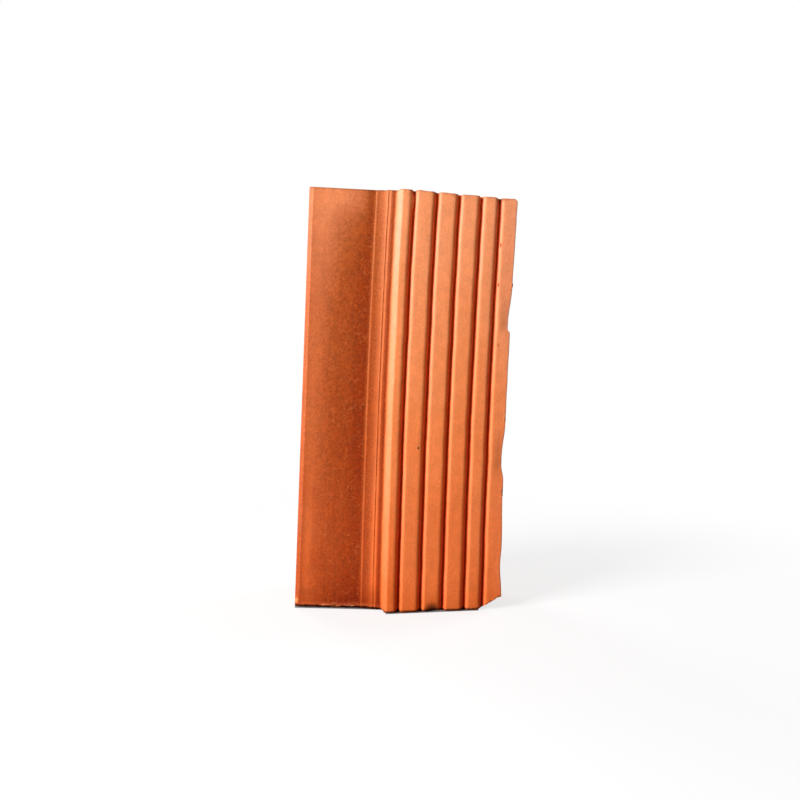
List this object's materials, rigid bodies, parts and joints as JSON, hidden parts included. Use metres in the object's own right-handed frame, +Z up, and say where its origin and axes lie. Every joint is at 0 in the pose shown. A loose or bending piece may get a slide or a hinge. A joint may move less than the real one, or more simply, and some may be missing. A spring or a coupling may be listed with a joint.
{
  "type": "clay brick",
  "caption": "Extruded fired-clay brick standing on its cut end, with a smooth rebate beside a shoulder and a grooved, sloping keyed face; its outer edge and lower corner are chipped.",
  "frame": {"origin": "middle of the lower cut end, on the level floor that the brick stands on", "axes": "+Z up along the extrusion, +X to the right across the front, +Y from the front to the flat back"},
  "size_m": [0.1244, 0.065, 0.25],
  "materials": {
    "fired_clay": "matte"
  },
  "bodies": {
    "root": {"brick": "fired_clay"}
  },
  "joints": []
}
